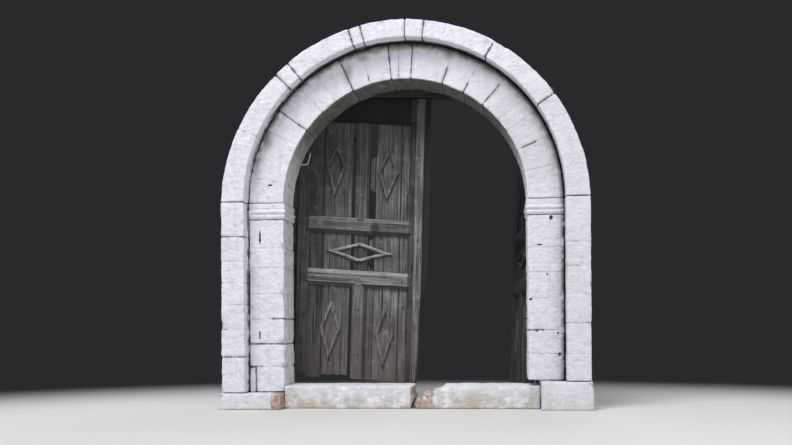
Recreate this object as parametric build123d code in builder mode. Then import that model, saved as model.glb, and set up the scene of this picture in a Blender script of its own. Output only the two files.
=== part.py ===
from build123d import *

import os
from math import cos, degrees, hypot, radians, sin, sqrt, tan
from types import SimpleNamespace

# Double door of planks in a timber frame behind an arched stone portal of two orders.
# Millimetres. X runs right, Y into the building, Z up. The origin is on the ground, on the centre
# line of the doorway, in the plane of the inner order's face.

os.makedirs("parts", exist_ok=True)

# Doorway: the clear opening in the stone and the depth of the stone
clear_width = 1790
sill_top = 170
spring_height = 1355
reveal_depth = 370

# Inner order of stone, and the outer order that stands forward of it
inner_face = 270
outer_face = 180
crown_thinning = 45
outer_proud = 130
joint_gap = 0.5
arris = 6

# Directions of the joints in the two rings, in degrees from the right springing
inner_joints = [0, 12.6, 23.2, 33.2, 39.4, 49.9, 60.8, 71.5, 86.5, 91.9, 95.6, 105.7, 114.3, 124.3,
                132.1, 143.4, 151.9, 170.5, 180]
outer_joints = [0, 26.5, 33.9, 54.9, 59.1, 75.5, 82.7, 88.9, 103.5, 107.4, 129.8, 135, 156, 180]

# Lowest beds of jambs and quoins, as heights above the sill top, and their other bed joints, as
# shares of the springing's height above it
left_bed = -50
right_bed = 35
left_jamb_beds = [0.101, 0.227, 0.365, 0.503, 0.645, 0.755]
right_jamb_beds = [0.168, 0.296, 0.467, 0.606, 0.739]
left_quoin_beds = [0.159, 0.31, 0.443, 0.561, 0.679, 0.812]
right_quoin_beds = [0.173, 0.332, 0.487, 0.635, 0.76]
foot_seam = 220

# Imposts: height, two rolls and the slab over them (rise above the foot, height, how far proud)
left_impost_height = 119
right_impost_height = 115
impost_rolls = [(10, 22, 8), (40, 28, 14)]
slab_rise = 78
slab_proud = 6

# Base stones and the broken sill
base_overhang = 15
base_forward = 30
base_batter = 8
sill_forward = 30
sill_recess = 40
sill_bearing = 90
left_break = 48
right_break = 283

# Broken ends of the two pieces of the sill: how far from the break, and share of the sill's height
left_break_edge = [(-6, 0), (6, 0.25), (27, 0.49), (4, 0.72), (12, 0.88), (0, 1)]
right_break_edge = [(0, 1), (-10, 0.88), (-60, 0.78), (-150, 0.66), (-198, 0.38), (-208, 0.13),
                    (-200, 0)]

# Timber frame, which has heeled over to the right as one piece
lean = 1.8
frame_rebate = 73
post_width = 75
post_depth = 80
head_below_crown = 52
head_height = 80
tenon_length = 30
tenon_thickness = 30
tenon_shoulder = 15

# Leaves: their layers from front to back, and their outline
leaf_recess = 28
planted_thickness = 26
plank_thickness = 28
ledge_thickness = 32
astragal_proud = 20
hinge_gap = 5
stile_inset = 54
leaf_gap = 3
meeting_at = 31
overhang = 86
head_clearance = 8
left_foot_height = 12
right_foot_height = -18
plank_gap = 2
right_plank_count = 5

# How far each leaf has sunk on its hinges and how many degrees its rails fall to the free side
left_drop = 0
right_drop = 15
left_rack = 2.3
right_rack = 3.3
right_leaf_turn = -82
right_setback = 2

# Planted frame of a leaf: stiles, rails at mid leaf as heights above the sill top, muntins, chamfers
hinge_stile_width = 88
left_meeting_width = 155
right_meeting_width = 76
lower_rail = (728, 856)
upper_rail = (1140, 1264)
top_rail_height = 187
muntin_width = 91
left_muntin_shifts = (13, 5)
right_muntin_shifts = (0, 0)
chamfer_width = 28
chamfer_depth = 12
astragal_width = 66
astragal_foot_width = 46
astragal_reveal = 49
astragal_bevel = 7

# Left leaf's planks: two seams, the slot left of the upper muntin, wider at the foot, and the plank
# that lies behind that muntin
near_seam = 200
far_seam_inset = 70
slot_width = 26
backing_width = 101

# Torn edges right of that plank, as distances from it and heights: the fourth plank's broken head,
# from right to left, and the fifth plank's side, from the foot up
rest_head = [(52, 833), (41, 879), (24, 847), (14, 896), (4, 857)]
torn_foot = 54
torn_side = [(60, 1012), (18, 1030), (15, 1092), (60, 1110), (60, 1468), (18, 1490), (18, 1730),
             (65, 1750)]

# Rotten feet on the left leaf and the worn outer edge of its meeting stile, as runs and heights
worn_stile_foot = [(0, 52), (48, 46), (88, 50)]
worn_plank_feet = [[(-54, 52), (20, 48), (58, 44), (76, 12), (110, 20), (140, 8), (165, 22), (199, 16)],
                   [(201, 34), (240, 44), (262, 36), (300, 45), (336, 38), (372, 46), (411, 36)]]
worn_meeting_edge = [(965, 0), (967, 95), (985, 640), (1004, 712), (1015, 790), (1026, 1000)]

# Bevelled strips of the lozenges
strip_width = 30
strip_proud = 21
strip_straight = 9
strip_bevel = 9
mitre_gap = 0.3

# Lozenges: half their width and height as shares of half the panel's, how far their middle stands
# aside and above the panel's, and how much higher their side corners are
left_lozenges = {"upper_lozenges": [(0.446, 0.595, 20, -11, 35), (0.51, 0.605, -4, -12, 6)],
                 "middle_lozenge": [(0.664, 0.556, 8, -2, 0)],
                 "lower_lozenges": [(0.48, 0.704, 6, 17, 0), (0.45, 0.746, -2, -4, 7)]}
right_lozenges = {"upper_lozenges": [(0.55, 0.6, 0, -11, 0), (0.55, 0.6, 0, -11, 0)],
                  "middle_lozenge": [(0.7, 0.56, 8, 14, 0)],
                  "lower_lozenges": [(0.55, 0.72, 0, 8, 0), (0.55, 0.72, 0, 8, 0)]}

# Ledges on the back of a leaf, each behind a rail
ledge_height = 115
ledge_inset = 20

# Strap hinges and their pintles
pin_radius = 8
pin_play = 0.3
eye_wall = 6
strap_width = 40
strap_tip = 13
strap_thickness = 6
strap_length = 520
strap_heights = (330, 1880)
plate_reach = 52
plate_thickness = 6
knuckle_height = 60
pin_above = 8

# Hook in the arch, pin in the right reveal (its height a share of the springing's) and staple at
# the lock
bar_radius = 5
hook_angle = 159.3
hook_bend = 16
hook_bearing = 35
hook_reach = 84
hook_tip_aside = 22
hook_tip_rise = 86
peg_height = 0.359
iron_from_rear = 160
peg_length = 72
peg_bearing = 35
staple_height = 880
staple_radius = 3
staple_half = 12
staple_set = 20
staple_rise = 8
staple_offset = 12

opening_radius = clear_width / 2
spring_level = sill_top + spring_height
inner_edge = opening_radius + inner_face
outer_edge = inner_edge + outer_face
post_face = opening_radius + frame_rebate
post_rear = reveal_depth + post_depth
head_underside = spring_height + opening_radius - head_below_crown
leaf_top = head_underside - head_clearance
top_rail_foot = leaf_top - top_rail_height
iron_depth = reveal_depth - iron_from_rear
planted_front = reveal_depth + leaf_recess
planks_front = planted_front + planted_thickness
planks_rear = planks_front + plank_thickness
eye_radius = pin_radius + pin_play + eye_wall
stile_start = post_face - hinge_gap - stile_inset

up = Vector(sin(radians(lean)), 0, cos(radians(lean)))
across = Vector(cos(radians(lean)), 0, -sin(radians(lean)))
inward = Vector(0, 1, 0)
foot = Vector(0, 0, sill_top)

# The frame stands still. Each leaf is turned about its hinge, the left one shut and the right one
# open, has sunk by its drop and racked so that its rails fall towards the free side.
frame = SimpleNamespace(turn=0, hinge_at=0, hinge_depth=0, setback=0)
left = SimpleNamespace(name="left", side=-1, turn=0, setback=0, drop=left_drop, rack=left_rack,
                       foot=left_foot_height, lozenges=left_lozenges)
right = SimpleNamespace(name="right", side=1, turn=right_leaf_turn, setback=right_setback,
                        drop=right_drop, rack=right_rack, foot=right_foot_height,
                        lozenges=right_lozenges)

left.width = stile_start + meeting_at
left.meeting_end = left.width + overhang
left.meeting_start = left.meeting_end - left_meeting_width
left.muntin_shifts = left_muntin_shifts
right.width = stile_start - meeting_at - leaf_gap
right.meeting_end = right.width - overhang
right.meeting_start = right.meeting_end - right_meeting_width
right.muntin_shifts = right_muntin_shifts
for leaf in (left, right):
    leaf.hinge_at = leaf.side * post_face
    leaf.hinge_depth = planks_rear + leaf.setback + eye_radius
    leaf.middle = (hinge_stile_width + leaf.meeting_start) / 2


def keep(builder, name):
    """Label a finished piece and write it."""
    builder.part.label = name
    export_step(builder.part, f"parts/{name}.step")


def turned_frame(swing):
    """Origin and directions of the heeled frame's coordinates, turned about a leaf's hinge."""
    turn = radians(swing.turn)
    side = across * cos(turn) + inward * sin(turn)
    back = inward * cos(turn) - across * sin(turn)
    hinge = foot + across * swing.hinge_at + inward * swing.hinge_depth
    return hinge - side * swing.hinge_at - back * swing.hinge_depth, side, back


def face_plane(depth, swing=frame):
    """Upright plane seen from the street: x along the leaf, y up its stile."""
    origin, side, back = turned_frame(swing)
    return Plane(origin=origin + back * (depth + swing.setback), x_dir=side, z_dir=back * -1)


def plan_plane(height, swing=frame):
    """Plane square to the stiles: x along the leaf, y into the building."""
    origin, side, _ = turned_frame(swing)
    return Plane(origin=origin + up * height, x_dir=side, z_dir=up)


def at(leaf, run, height):
    """Place on a leaf's face, run being measured from its hinge stile's outer edge."""
    return leaf.side * (stile_start - run), height


def level(leaf, height, run):
    """A height at mid leaf, followed along the fall of the racked rails."""
    return height - leaf.drop - (run - leaf.middle) * tan(radians(leaf.rack))


# Stone rings

def ring_point(angle, radius, drop):
    """Where a joint's direction meets a circle whose centre lies lower than the springing's."""
    a = radians(angle)
    reach = sqrt(radius**2 - (drop * cos(a))**2) - drop * sin(a)
    return reach * cos(a), spring_level + reach * sin(a)


def ring_of_stones(joints, inside, outside, drop, front, let_in=()):
    """One order of the arch: a wedge of stone between each pair of joints."""
    half_joint = degrees(joint_gap / (inside + outside))
    with BuildPart() as ring:
        for start, end in zip(joints, joints[1:]):
            low = start + half_joint
            high = end - half_joint
            angles = (low, (low + high) / 2, high)
            with BuildSketch(Plane.XZ.offset(-reveal_depth)):
                with BuildLine():
                    inner = ThreePointArc(*[ring_point(a, inside, 0) for a in angles])
                    outer = ThreePointArc(*[ring_point(a, outside, drop) for a in angles])
                    Line(inner @ 0, outer @ 0)
                    Line(inner @ 1, outer @ 1)
                make_face()
            extrude(amount=reveal_depth - front)
        chamfer(ring.faces().group_by(Axis.Y)[0].edges(), length=arris)
        for piece in let_in:
            add(piece, mode=Mode.SUBTRACT)
    return ring


# Iron hook, let into a stone of the inner order and bent up beside the leaf
hook_x, hook_z = ring_point(hook_angle, opening_radius, 0)
with BuildPart() as hook:
    with BuildLine(Plane.XZ.offset(-iron_depth)) as route:
        FilletPolyline((hook_x - hook_bearing, hook_z), (hook_x + hook_reach, hook_z),
                       (hook_x + hook_reach + hook_tip_aside, hook_z + hook_tip_rise),
                       radius=hook_bend)
    with BuildSketch(Plane(origin=route.line @ 0, z_dir=route.line % 0)):
        Circle(bar_radius)
    sweep()
keep(hook, "left_hook")

outer_radius = hypot(outer_edge, crown_thinning)
voussoirs = ring_of_stones(inner_joints, opening_radius, inner_edge, 0, 0, [hook.part])
keep(voussoirs, "arch_voussoirs")
archivolt = ring_of_stones(outer_joints, inner_edge, outer_radius, crown_thinning, -outer_proud)
keep(archivolt, "archivolt_stones")

# Iron peg let into the right reveal
peg_tip = opening_radius + peg_bearing - peg_length
with BuildPart() as peg:
    with BuildSketch(Plane.YZ.offset(peg_tip)):
        with Locations((iron_depth, sill_top + peg_height * spring_height)):
            Circle(bar_radius)
    extrude(amount=peg_length)
    chamfer(peg.faces().sort_by(Axis.X)[0].edges(), length=bar_radius / 4)
keep(peg, "right_peg")


# Jambs, quoins and imposts

def stack_of_blocks(side, near, far, front, beds, seam=0, let_in=()):
    """Squared blocks beside the doorway between a lowest bed, bed joints and a top height."""
    depth = reveal_depth - front
    middle = (front + reveal_depth) / 2
    lowest, joints, top = beds
    beds = [lowest, *[share * spring_height for share in joints], top]
    with BuildPart() as stack:
        for low, high in zip(beds, beds[1:]):
            with BuildSketch(Plane.XY.offset(sill_top + low)):
                with Locations((side * (near + far) / 2, middle)):
                    Rectangle(far - near, depth)
            extrude(amount=high - low - joint_gap)
        if seam:
            with BuildSketch(Plane.XY.offset(sill_top + beds[0])):
                with Locations((side * (near + seam), middle)):
                    Rectangle(joint_gap, depth)
            extrude(amount=beds[1] - beds[0], mode=Mode.SUBTRACT)
        street = stack.faces().group_by(Axis.Y)[0]
        doorway = stack.faces().group_by(Axis.X)[0 if side > 0 else -1]
        chamfer(street.edges() + doorway.edges().filter_by(Axis.Y), length=arris)
        for piece in let_in:
            add(piece, mode=Mode.SUBTRACT)
    return stack


left_jamb = stack_of_blocks(-1, opening_radius, inner_edge, 0,
                            (left_bed, left_jamb_beds, spring_height - left_impost_height),
                            seam=foot_seam)
keep(left_jamb, "left_jamb_blocks")
right_jamb = stack_of_blocks(1, opening_radius, inner_edge, 0,
                             (right_bed, right_jamb_beds, spring_height - right_impost_height),
                             let_in=[peg.part])
keep(right_jamb, "right_jamb_blocks")
left_quoins = stack_of_blocks(-1, inner_edge, outer_edge, -outer_proud,
                              (left_bed, left_quoin_beds, spring_height))
keep(left_quoins, "left_quoins")
right_quoins = stack_of_blocks(1, inner_edge, outer_edge, -outer_proud,
                               (right_bed, right_quoin_beds, spring_height))
keep(right_quoins, "right_quoins")


def impost(side, full_height):
    """Springing stone whose rolls and slab turn the corner from the face into the reveal."""
    base = spring_level - full_height
    height = full_height - joint_gap
    slab = (slab_rise, height - slab_rise, slab_proud)
    with BuildPart() as stone:
        with BuildSketch(Plane.XY.offset(base)):
            with Locations((side * (opening_radius + inner_edge) / 2, reveal_depth / 2)):
                Rectangle(inner_face, reveal_depth)
        extrude(amount=height)
        for rise, thickness, proud in [*impost_rolls, slab]:
            nose = opening_radius - proud
            with BuildSketch(Plane.XY.offset(base + rise)):
                with Locations((side * (nose + inner_edge) / 2, (reveal_depth - proud) / 2)):
                    Rectangle(inner_edge - nose, reveal_depth + proud)
            extrude(amount=thickness)
            band = stone.edges().filter_by_position(Axis.Z, base + rise - 1, base + rise + thickness + 1)
            street = band.filter_by(Axis.X).group_by(Axis.Y)[0]
            cheek = band.filter_by(Axis.Y).group_by(Axis.X)[0 if side > 0 else -1]
            fillet(street + cheek, radius=0.9 * min(proud, thickness / 2))
    return stone


keep(impost(-1, left_impost_height), "left_impost")
keep(impost(1, right_impost_height), "right_impost")


# Base stones and sill

def stone_across(outline, front, rear):
    """Stone with an outline seen from the street, its front arris worn round."""
    with BuildPart() as stone:
        with BuildSketch(Plane.XZ.offset(-rear)):
            Polygon(*outline)
        extrude(amount=rear - front)
        chamfer(stone.faces().group_by(Axis.Y)[0].edges(), length=arris)
    return stone


base_reach = outer_edge + base_overhang
base_front = -outer_proud - base_forward
left_base_top = sill_top + left_bed - joint_gap
right_base_top = sill_top + right_bed - joint_gap
sill_end = opening_radius + sill_bearing
left_base = stone_across([(-base_reach, 0), (-opening_radius - joint_gap, 0),
                          (-opening_radius - joint_gap, left_base_top),
                          (-base_reach + base_batter, left_base_top)], base_front, reveal_depth)
keep(left_base, "left_base_stone")
right_base = stone_across([(sill_end + joint_gap, 0), (base_reach, 0),
                           (base_reach - base_batter, right_base_top),
                           (sill_end + joint_gap, right_base_top)], base_front, reveal_depth)
keep(right_base, "right_base_stone")

sill_rear = reveal_depth - sill_recess
left_sill = stone_across([(-opening_radius, sill_top), (-opening_radius, 0)]
                         + [(left_break + aside, share * sill_top) for aside, share in left_break_edge],
                         -sill_forward, sill_rear)
keep(left_sill, "left_sill")
right_sill = stone_across([(sill_end, 0), (sill_end, sill_top)]
                          + [(right_break + aside, share * sill_top) for aside, share in right_break_edge],
                          -sill_forward, sill_rear)
keep(right_sill, "right_sill")


# Timber frame: two posts standing on the ground and a head tenoned over them

def tenon_middle(side):
    """Middle of the tenon on a post's head, in the frame's plan."""
    return side * (post_face + post_width / 2), reveal_depth + post_depth / 2


tenon_width = post_width - 2 * tenon_shoulder
under_ground = -2 * sill_top
for leaf in (left, right):
    near = leaf.side * post_face
    far = leaf.side * (post_face + post_width)
    with BuildPart() as post:
        with BuildSketch(face_plane(post_rear)):
            Polygon((near, under_ground), (near, head_underside), (far, head_underside),
                    (far, under_ground))
        extrude(amount=post_depth)
        with BuildSketch(plan_plane(head_underside)):
            with Locations(tenon_middle(leaf.side)):
                Rectangle(tenon_width, tenon_thickness)
        extrude(amount=tenon_length)
        split(bisect_by=Plane.XY, keep=Keep.TOP)
    keep(post, f"{leaf.name}_post")

with BuildPart() as head:
    with BuildSketch(face_plane(post_rear)):
        with Locations((0, head_underside + head_height / 2)):
            Rectangle(2 * (post_face + post_width), head_height)
    extrude(amount=post_depth)
    with BuildSketch(plan_plane(head_underside)):
        with Locations(tenon_middle(-1), tenon_middle(1)):
            Rectangle(tenon_width, tenon_thickness)
    extrude(amount=tenon_length, mode=Mode.SUBTRACT)
keep(head, "head_beam")


# Hinges: a strap with an eye on the leaf, over a pin on a plate behind the post

def pintles(leaf):
    """Pins of one post, each rising from a knuckle that a plate carries on the post's back."""
    with BuildPart() as iron:
        for height in strap_heights:
            shoulder = height - leaf.drop - strap_width / 2 - pin_play
            depth = leaf.hinge_depth - post_rear
            with BuildSketch(plan_plane(shoulder - knuckle_height)):
                with Locations((leaf.hinge_at, leaf.hinge_depth)):
                    Circle(eye_radius)
                with Locations((leaf.hinge_at + leaf.side * eye_radius / 2, post_rear + depth / 2)):
                    Rectangle(eye_radius, depth)
                with Locations((leaf.hinge_at + leaf.side * plate_reach / 2,
                                post_rear + plate_thickness / 2)):
                    Rectangle(plate_reach, plate_thickness)
            extrude(amount=knuckle_height)
            with BuildSketch(plan_plane(shoulder)):
                with Locations((leaf.hinge_at, leaf.hinge_depth)):
                    Circle(pin_radius)
            extrude(amount=strap_width + pin_play + pin_above)
    return iron


def straps(leaf):
    """Tapered straps on the back of a leaf, each rolled into an eye round its pin."""
    with BuildPart() as iron:
        for height in strap_heights:
            middle = height - leaf.drop
            tip_at = leaf.hinge_at - leaf.side * strap_length
            with BuildSketch(face_plane(planks_rear + strap_thickness, leaf)):
                Polygon((leaf.hinge_at, middle - strap_width / 2),
                        (leaf.hinge_at, middle + strap_width / 2),
                        (tip_at, middle + strap_tip), (tip_at, middle - strap_tip))
                with Locations((tip_at, middle)):
                    Circle(strap_tip)
            extrude(amount=strap_thickness)
            with BuildSketch(plan_plane(middle - strap_width / 2, leaf)):
                with Locations((leaf.hinge_at, leaf.hinge_depth)):
                    Circle(eye_radius)
            extrude(amount=strap_width)
            with BuildSketch(plan_plane(middle - strap_width / 2, leaf)):
                with Locations((leaf.hinge_at, leaf.hinge_depth)):
                    Circle(pin_radius + pin_play)
            extrude(amount=strap_width, mode=Mode.SUBTRACT)
    return iron


# Leaves

def board(leaf, outline, rear, thickness, cutters=()):
    """Flat piece of a leaf with an outline in run and height, cut by other pieces or borders."""
    with BuildPart() as piece:
        with BuildSketch(face_plane(rear, leaf)):
            Polygon(*[at(leaf, run, height) for run, height in outline])
        extrude(amount=thickness)
        for cutter in cutters:
            add(cutter, mode=Mode.SUBTRACT)
    return piece


def between(leaf, near, far, low, high):
    """Outline of a racked piece: upright sides, with top and bottom falling along the rails."""
    return [(near, level(leaf, low, near)), (far, level(leaf, low, far)),
            (far, level(leaf, high, far)), (near, level(leaf, high, near))]


def stile_outline(leaf, near, far, foot_height):
    """Outline of an upright piece whose head is level and whose foot falls with the rails."""
    return [(near, level(leaf, foot_height, near)), (far, level(leaf, foot_height, far)),
            (far, leaf_top - leaf.drop), (near, leaf_top - leaf.drop)]


def worn_outline(leaf, edge):
    """Outline of an upright piece whose head is level and whose foot or side is a worn line."""
    return [*edge, (edge[-1][0], leaf_top - leaf.drop), (edge[0][0], leaf_top - leaf.drop)]


def chamfered_border(leaf, near, far, low, high):
    """Hollow over a panel that chamfers the edges round it and mitres them at its corners."""
    corners = [at(leaf, run, height) for run, height in between(leaf, near, far, low, high)]
    with BuildPart() as border:
        with BuildSketch(face_plane(planted_front + chamfer_depth, leaf)):
            Polygon(*corners)
        with BuildSketch(face_plane(planted_front, leaf)):
            Polygon(*corners)
            offset(amount=chamfer_width, kind=Kind.INTERSECTION)
        loft(ruled=True)
    return border.part


def lozenges(leaf, shapes):
    """Lozenges of four bevelled strips that meet in mitres, set square to the racked rails."""
    with BuildPart() as strips:
        for run, height, half_width, half_height, waist in shapes:
            centre = Location((*at(leaf, run, level(leaf, height, run)), 0), (0, 0, leaf.side * leaf.rack))
            corners = [Vector(half_width, waist), Vector(0, half_height),
                       Vector(-half_width, waist), Vector(0, -half_height)]
            for start, end in zip(corners, corners[1:] + corners[:1]):
                along = (end - start).normalized()
                outwards = Vector(along.Y, -along.X)
                reach = start.dot(outwards)
                for rise, inset in ((0, 0), (strip_straight, 0), (strip_proud, strip_bevel)):
                    outer = 1 - inset / reach
                    inner = 1 - (strip_width - inset) / reach
                    place = face_plane(planks_front - rise, leaf) * centre
                    with BuildSketch(place):
                        Polygon(*[corner * size + outwards * mitre_gap for corner, size in
                                  ((start, outer), (end, outer), (end, inner), (start, inner))])
                loft(ruled=True)
    return strips


# Left leaf's own pieces: the staple at the lock, its planks and the bead on the meeting stile

astragal_start = left.meeting_end - astragal_reveal - astragal_width
staple_place = face_plane(planted_front, left).from_local_coords(
    (*at(left, astragal_start - staple_offset, staple_height), 0))
with BuildPart() as staple:
    with BuildLine(Plane(origin=staple_place, x_dir=up, z_dir=across)) as route:
        leg = Line((staple_half, -staple_set), (staple_half, staple_rise))
        bow = ThreePointArc(leg @ 1, (0, staple_rise + staple_half), (-staple_half, staple_rise))
        Line(bow @ 1, (-staple_half, -staple_set))
    with BuildSketch(Plane(origin=leg @ 0, z_dir=leg % 0)):
        Circle(staple_radius)
    sweep(path=route.wire())
keep(staple, "left_lock_staple")
with BuildPart() as staple_holes:
    with BuildSketch(face_plane(planted_front, left)):
        run = astragal_start - staple_offset
        legs = [at(left, run, staple_height + side * staple_half) for side in (-1, 1)]
        with Locations(*legs):
            Circle(staple_radius)
    extrude(amount=-staple_set)

far_seam = left.meeting_start - far_seam_inset
upper_near = left.middle + left.muntin_shifts[0] - muntin_width / 2
backing = upper_near + backing_width
half_gap = plank_gap / 2
left_top = leaf_top - left.drop


def left_foot(run):
    """Foot of the left leaf's planks at a run from its hinge stile."""
    return run, level(left, left.foot, run)


def torn(edge):
    """Torn edge, given from the plank behind the upper muntin, as runs and heights."""
    return [(backing + aside, height) for aside, height in edge]


left_planks = [
    worn_outline(left, worn_plank_feet[0]),
    [*worn_plank_feet[1], (upper_near - slot_width, left_top), (near_seam + half_gap, left_top)],
    [left_foot(upper_near), left_foot(backing), (backing, left_top), (upper_near, left_top)],
    [left_foot(backing + rest_head[-1][0]), left_foot(backing + rest_head[0][0]), *torn(rest_head)],
    [left_foot(far_seam - half_gap), (far_seam - half_gap, left_top),
     (backing + torn_side[-1][0], left_top), *reversed(torn(torn_side)),
     left_foot(backing + torn_foot)],
    [left_foot(far_seam + half_gap), left_foot(left.width), (left.width, left_top),
     (far_seam + half_gap, left_top)],
]
for number, outline in enumerate(left_planks, start=1):
    keep(board(left, outline, planks_rear, plank_thickness), f"left_plank_{number}")

astragal_end = astragal_start + astragal_width
astragal_foot_end = astragal_start + astragal_foot_width
with BuildPart() as astragal:
    with BuildSketch(face_plane(planted_front, left)):
        Polygon(*[at(left, run, height) for run, height in
                  (left_foot(astragal_start), left_foot(astragal_foot_end),
                   (astragal_end, lower_rail[0]), (astragal_end, left_top), (astragal_start, left_top))])
    extrude(amount=astragal_proud)
    chamfer(astragal.faces().sort_by(Axis.Y)[0].edges(), length=astragal_bevel)
keep(astragal, "left_astragal")

# Right leaf's planks, all of one width

plank_pitch = (right.width + stile_inset) / right_plank_count
for number in range(right_plank_count):
    near = number * plank_pitch - stile_inset
    outline = stile_outline(right, near, near + plank_pitch - plank_gap, right.foot)
    keep(board(right, outline, planks_rear, plank_thickness), f"right_plank_{number + 1}")


# What both leaves have: the planted frame with its lozenges, the ledges and the ironwork

for leaf, let_in in ((left, [staple_holes.part]), (right, [])):
    upper, lower = [leaf.middle + shift - muntin_width / 2 for shift in leaf.muntin_shifts]
    free = leaf.meeting_start
    panels = {
        "upper_lozenges": [(hinge_stile_width, upper, upper_rail[1], top_rail_foot),
                           (upper + muntin_width, free, upper_rail[1], top_rail_foot)],
        "middle_lozenge": [(hinge_stile_width, free, lower_rail[1], upper_rail[0])],
        "lower_lozenges": [(hinge_stile_width, lower, leaf.foot, lower_rail[0]),
                           (lower + muntin_width, free, leaf.foot, lower_rail[0])],
    }
    borders = []
    for name, rows in panels.items():
        for near, far, low, high in rows:
            open_low = low - sill_top if low == leaf.foot else low
            borders.append(chamfered_border(leaf, near, far, open_low, high))
        shapes = []
        for (near, far, low, high), (wide, tall, aside, above, waist) in zip(rows, leaf.lozenges[name]):
            shapes.append(((near + far) / 2 + aside, (low + high) / 2 + above,
                           wide * (far - near) / 2, tall * (high - low) / 2, waist))
        keep(lozenges(leaf, shapes), f"{leaf.name}_{name}")

    planted = {
        "hinge_stile": stile_outline(leaf, 0, hinge_stile_width, leaf.foot),
        "meeting_stile": stile_outline(leaf, free, leaf.meeting_end, leaf.foot),
        "top_rail": stile_outline(leaf, hinge_stile_width, free, top_rail_foot),
        "upper_lock_rail": between(leaf, hinge_stile_width, free, *upper_rail),
        "lower_lock_rail": between(leaf, hinge_stile_width, free, *lower_rail),
        "upper_muntin": between(leaf, upper, upper + muntin_width, upper_rail[1], top_rail_foot),
        "lower_muntin": between(leaf, lower, lower + muntin_width, leaf.foot, lower_rail[0]),
    }
    if leaf is left:
        planted["hinge_stile"] = worn_outline(leaf, worn_stile_foot)
        planted["meeting_stile"] = [left_foot(free), *worn_meeting_edge, (leaf.meeting_end, left_top),
                                    (free, left_top)]
    for name, outline in planted.items():
        piece = board(leaf, outline, planks_front, planted_thickness, borders + let_in)
        keep(piece, f"{leaf.name}_{name}")

    with BuildPart() as ledges:
        for rail_foot, rail_head in (lower_rail, upper_rail, (top_rail_foot, leaf_top)):
            ledge_foot = (rail_foot + rail_head - ledge_height) / 2
            outline = between(leaf, -ledge_inset, leaf.width - ledge_inset, ledge_foot,
                              ledge_foot + ledge_height)
            with BuildSketch(face_plane(planks_rear + ledge_thickness, leaf)):
                Polygon(*[at(leaf, run, height) for run, height in outline])
            extrude(amount=ledge_thickness)
    keep(ledges, f"{leaf.name}_ledges")
    keep(straps(leaf), f"{leaf.name}_straps")
    keep(pintles(leaf), f"{leaf.name}_pintles")
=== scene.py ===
import math

import bpy
import numpy
from mathutils import Matrix, Vector
from mathutils.bvhtree import BVHTree


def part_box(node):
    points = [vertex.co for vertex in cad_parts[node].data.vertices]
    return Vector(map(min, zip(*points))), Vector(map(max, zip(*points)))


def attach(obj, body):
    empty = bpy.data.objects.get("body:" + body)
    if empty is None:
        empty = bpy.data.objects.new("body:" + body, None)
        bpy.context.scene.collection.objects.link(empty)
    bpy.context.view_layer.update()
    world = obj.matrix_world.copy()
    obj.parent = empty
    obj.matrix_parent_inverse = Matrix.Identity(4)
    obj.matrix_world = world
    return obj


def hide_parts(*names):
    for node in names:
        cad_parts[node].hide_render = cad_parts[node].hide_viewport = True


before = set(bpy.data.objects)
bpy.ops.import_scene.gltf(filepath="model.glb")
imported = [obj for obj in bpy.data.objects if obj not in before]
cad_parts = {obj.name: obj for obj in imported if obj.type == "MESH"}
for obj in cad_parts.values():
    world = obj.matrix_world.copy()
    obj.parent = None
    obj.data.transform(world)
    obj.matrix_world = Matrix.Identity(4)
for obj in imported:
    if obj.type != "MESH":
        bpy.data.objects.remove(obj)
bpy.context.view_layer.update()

# Camera.
# It stands low in front of the doorway and a little to its right. It looks level and slightly to the
# left, and is rolled by a third of a degree.
camera_place = (0.683, -7.31, 0.614)
camera_turn = math.radians(5.83)
camera_roll = math.radians(-0.35)
upright_view = math.radians(90)
camera_data = bpy.data.cameras.new("camera")
camera_data.sensor_width = 36
camera_data.lens = 45.45
camera_data.shift_y = 0.1294
camera = bpy.data.objects.new("camera", camera_data)
bpy.context.scene.collection.objects.link(camera)
look = Matrix.Rotation(camera_turn, 4, "Z") @ Matrix.Rotation(upright_view, 4, "X")
camera.matrix_world = Matrix.Translation(camera_place) @ look @ Matrix.Rotation(camera_roll, 4, "Z")
bpy.context.scene.camera = camera
bpy.context.scene.view_settings.view_transform = "Standard"


# Floor.
# A plain pale disc under the doorway. It turns clear away from the doorway, so that it fades into
# the backdrop's grey.

class Reading:
    """A shader socket that sums can be written on."""

    def __init__(self, finish, socket):
        self.finish = finish
        self.socket = socket

    def math(self, operation, *others):
        """A Math node on this reading and others."""
        values = dict(enumerate((self, *others)))
        return self.finish.node("ShaderNodeMath", {"operation": operation}, values)

    def __add__(self, other):
        return self.math("ADD", other)

    def __radd__(self, other):
        return self.math("ADD", other)

    def __sub__(self, other):
        return self.math("SUBTRACT", other)

    def __rsub__(self, other):
        return (self * -1).math("ADD", other)

    def __mul__(self, other):
        return self.math("MULTIPLY", other)

    def __rmul__(self, other):
        return self.math("MULTIPLY", other)

    def __pow__(self, other):
        return self.math("POWER", other)

    def __rpow__(self, other):
        return self.finish.node("ShaderNodeMath", {"operation": "POWER"}, {0: other, 1: self})

    def between(self, low, high):
        """0 below low, 1 above high, smooth in between; the other way round if low is the larger."""
        low, high, first, last = (low, high, 0, 1) if low < high else (high, low, 1, 0)
        return self.finish.node("ShaderNodeMapRange", {"interpolation_type": "SMOOTHSTEP"},
                                {"Value": self, "From Min": low, "From Max": high,
                                 "To Min": first, "To Max": last})


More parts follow.
